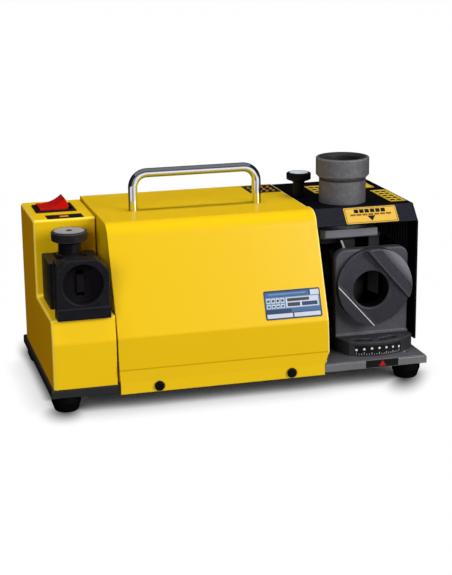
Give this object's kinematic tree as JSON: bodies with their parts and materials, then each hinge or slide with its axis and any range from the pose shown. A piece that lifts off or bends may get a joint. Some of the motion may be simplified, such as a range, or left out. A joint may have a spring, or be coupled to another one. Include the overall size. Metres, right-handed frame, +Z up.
{
  "type": "drill bit grinder",
  "caption": "Bench drill-bit grinder with a sheet-steel motor body, swivelling drill holder with cam disc, thinning port, drill setting gauge, rocker switch and carry handle.",
  "frame": {"origin": "middle of the outer box, on the surface that the feet stand on", "axes": "+X along the base plate towards the grinding hood, +Y to the back, +Z up"},
  "size_m": [0.3216, 0.1692, 0.183],
  "materials": {
    "yellow": "gloss powder coat",
    "hood_black": "fine textured powder coat",
    "base_grey": "satin grey",
    "dark_sheet": "satin",
    "chrome": "polished",
    "rubber": "matte",
    "steel": "plain",
    "satin_steel": "satin turned",
    "bracket_grey": "satin",
    "dark_steel": "phosphated",
    "black_steel": "black oxide",
    "gauge_black": "satin black",
    "aluminium": "turned",
    "black_plastic": "satin",
    "red_plastic": "gloss",
    "board_green": "solder mask",
    "ferrite": "plain",
    "carbon": "matte",
    "copper": "varnished",
    "brass": "plain",
    "abrasive": "bonded grit"
  },
  "bodies": {
    "frame": {"base_plate": "base_grey", "rubber_feet": "rubber", "foot_screws": "steel", "left_housing": "yellow", "center_cover": "yellow", "cover_screws": "black_steel", "carry_handle": "chrome", "handle_screws": "steel", "rear_panel": "yellow", "divider_wall": "dark_sheet", "grinding_hood": "hood_black", "hood_side": "hood_black", "panel_screws": "steel", "port_bracket": "bracket_grey", "thinning_port_tube": "satin_steel", "thinning_port_sleeve": "satin_steel", "grit_deflector": "satin_steel", "motor_yoke": "dark_sheet", "field_magnets": "ferrite", "motor_front_cap": "aluminium", "motor_rear_cap": "aluminium", "motor_cradle": "aluminium", "motor_screws": "steel", "carbon_brushes": "carbon", "front_bearing": "steel", "rear_bearing": "steel", "switch_housing": "black_plastic", "switch_terminals": "brass", "control_board": "board_green", "board_standoffs": "black_plastic", "capacitor": "aluminium", "cord_gland": "black_plastic", "gauge_block": "gauge_black", "gauge_pin": "steel", "gauge_screws": "steel", "swivel_pivot": "black_steel", "lock_screws": "black_steel"},
    "spindle": {"motor_shaft": "steel", "armature_core": "ferrite", "armature_windings": "copper", "commutator": "copper", "cooling_fan": "black_plastic", "wheel_hub": "steel", "wheel_core": "aluminium", "abrasive_band": "abrasive", "wheel_bolt": "black_steel"},
    "rocker": {"switch_rocker": "red_plastic"},
    "gauge_knob": {"gauge_knob": "black_plastic", "gauge_knob_cap": "aluminium", "gauge_spindle": "black_steel"},
    "gauge_stop": {"gauge_stop": "gauge_black"},
    "holder": {"swivel_base": "dark_steel", "holder_plate": "dark_steel", "holder_screws": "black_steel", "cam_disc": "dark_steel"},
    "thinning_knob": {"thinning_knob": "black_plastic", "thinning_knob_cap": "aluminium", "thinning_spindle": "steel"},
    "thinning_stop": {"thinning_stop": "dark_steel"}
  },
  "joints": [
    {"name": "wheel_spin", "type": "hinge", "parent": "frame", "child": "spindle", "pos_m": [0.10435, 0.0061, 0.074], "axis": [1, 0, 0], "continuous": true},
    {"name": "rocker_tilt", "type": "hinge", "parent": "frame", "child": "rocker", "pos_m": [-0.13475, 0.0411, 0.1403], "axis": [0, 1, 0], "range_deg": [0, 34]},
    {"name": "gauge_knob_turn", "type": "hinge", "parent": "frame", "child": "gauge_knob", "pos_m": [-0.133, -0.0254, 0.1191], "axis": [0, 0, 1], "range_deg": [-720, 720]},
    {"name": "gauge_stop_slide", "type": "slide", "parent": "frame", "child": "gauge_stop", "axis": [0, 0, 1], "range_m": [-0.0025, 0.0025]},
    {"name": "holder_swivel", "type": "hinge", "parent": "frame", "child": "holder", "pos_m": [0.11985, -0.02359, 0.033], "axis": [0, 0, 1], "range_deg": [-11.5, 4]},
    {"name": "thinning_knob_turn", "type": "hinge", "parent": "frame", "child": "thinning_knob", "pos_m": [0.07675, 0.0171, 0.1445], "axis": [0, 0, 1], "range_deg": [-720, 720]},
    {"name": "thinning_stop_slide", "type": "slide", "parent": "frame", "child": "thinning_stop", "axis": [0, 0, 1], "range_m": [-0.002, 0.002]}
  ],
  "couplings": [
    {"joint": "gauge_knob_turn", "follows": "gauge_stop_slide", "rad_per_m": 5026.5},
    {"joint": "thinning_knob_turn", "follows": "thinning_stop_slide", "rad_per_m": 6283.2}
  ]
}
